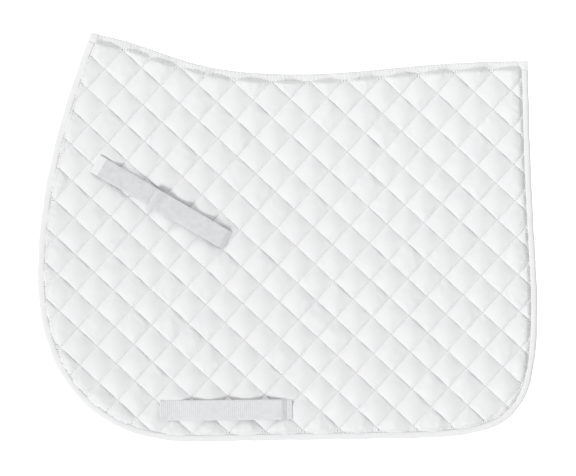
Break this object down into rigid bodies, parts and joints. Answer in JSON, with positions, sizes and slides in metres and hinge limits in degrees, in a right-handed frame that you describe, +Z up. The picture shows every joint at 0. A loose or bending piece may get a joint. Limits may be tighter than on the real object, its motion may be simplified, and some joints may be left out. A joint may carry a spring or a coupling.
{
  "type": "saddle pad",
  "caption": "Quilted saddle pad folded along its spine, with bound edges, hinged flaps, a girth loop and a billet keeper that peels open on each side.",
  "frame": {"origin": "the lowest point of the spine seam, on the centre plane between the two flaps", "axes": "+X towards the rear of the pad, +Z up, -Y towards the left flap; both flaps hang side by side at rest"},
  "size_m": [0.64, 0.0412, 0.5235],
  "materials": {
    "cover": "matte cotton twill",
    "lining": "matte cotton twill",
    "batting": "fluffy polyester fibre",
    "binding": "matte cotton tape",
    "spine_tape": "matte woven tape",
    "thread": "polyester thread with a slight sheen",
    "webbing": "ribbed polypropylene webbing",
    "grip_tape": "hook and loop tape"
  },
  "bodies": {
    "spine": {"spine_tape": "spine_tape", "spine_stitching": "thread", "front_binding_crossing": "binding", "rear_binding_crossing": "binding", "left_crown_cover": "cover", "left_crown_batting": "batting", "left_crown_lining": "lining", "left_crown_binding": "binding", "left_crown_quilting_thread": "thread", "right_crown_cover": "cover", "right_crown_batting": "batting", "right_crown_lining": "lining", "right_crown_binding": "binding", "right_crown_quilting_thread": "thread"},
    "left_flap": {"left_flap_cover": "cover", "left_flap_batting": "batting", "left_flap_lining": "lining", "left_edge_binding": "binding", "left_binding_stitching": "thread", "left_quilting_thread": "thread", "left_girth_strap": "webbing", "left_girth_strap_stitching": "thread", "left_keeper_front_foot": "webbing", "left_keeper_rear_foot": "webbing", "left_keeper_stitching": "thread"},
    "left_lower_tab": {"left_keeper_lower_tab": "webbing", "left_loop_tape": "grip_tape"},
    "left_upper_tab": {"left_keeper_upper_tab": "webbing", "left_hook_tape": "grip_tape"},
    "right_flap": {"right_flap_cover": "cover", "right_flap_batting": "batting", "right_flap_lining": "lining", "right_edge_binding": "binding", "right_binding_stitching": "thread", "right_quilting_thread": "thread", "right_girth_strap": "webbing", "right_girth_strap_stitching": "thread", "right_keeper_front_foot": "webbing", "right_keeper_rear_foot": "webbing", "right_keeper_stitching": "thread"},
    "right_lower_tab": {"right_keeper_lower_tab": "webbing", "right_loop_tape": "grip_tape"},
    "right_upper_tab": {"right_keeper_upper_tab": "webbing", "right_hook_tape": "grip_tape"}
  },
  "joints": [
    {"name": "left_flap_fold", "type": "hinge", "parent": "spine", "child": "left_flap", "pos_m": [0, -0.0122, -0.01], "axis": [-1, 0, 0], "range_deg": [0, 75]},
    {"name": "left_upper_tab_peel", "type": "hinge", "parent": "left_flap", "child": "left_upper_tab", "pos_m": [-0.07757, -0.01445, -0.21239], "axis": [0.5045, 0, 0.8634], "range_deg": [0, 150]},
    {"name": "left_lower_tab_lift", "type": "hinge", "parent": "left_flap", "child": "left_lower_tab", "pos_m": [-0.24594, -0.01445, -0.114], "axis": [-0.5045, 0, -0.8634], "range_deg": [0, 60]},
    {"name": "right_flap_fold", "type": "hinge", "parent": "spine", "child": "right_flap", "pos_m": [0, 0.0122, -0.01], "axis": [1, 0, 0], "range_deg": [0, 75]},
    {"name": "right_upper_tab_peel", "type": "hinge", "parent": "right_flap", "child": "right_upper_tab", "pos_m": [-0.07757, 0.01445, -0.21239], "axis": [-0.5045, 0, -0.8634], "range_deg": [0, 150]},
    {"name": "right_lower_tab_lift", "type": "hinge", "parent": "right_flap", "child": "right_lower_tab", "pos_m": [-0.24594, 0.01445, -0.114], "axis": [0.5045, 0, 0.8634], "range_deg": [0, 60]}
  ],
  "couplings": [
    {"joint": "left_lower_tab_lift", "follows": "left_upper_tab_peel", "ratio": 0.4},
    {"joint": "right_lower_tab_lift", "follows": "right_upper_tab_peel", "ratio": 0.4}
  ]
}
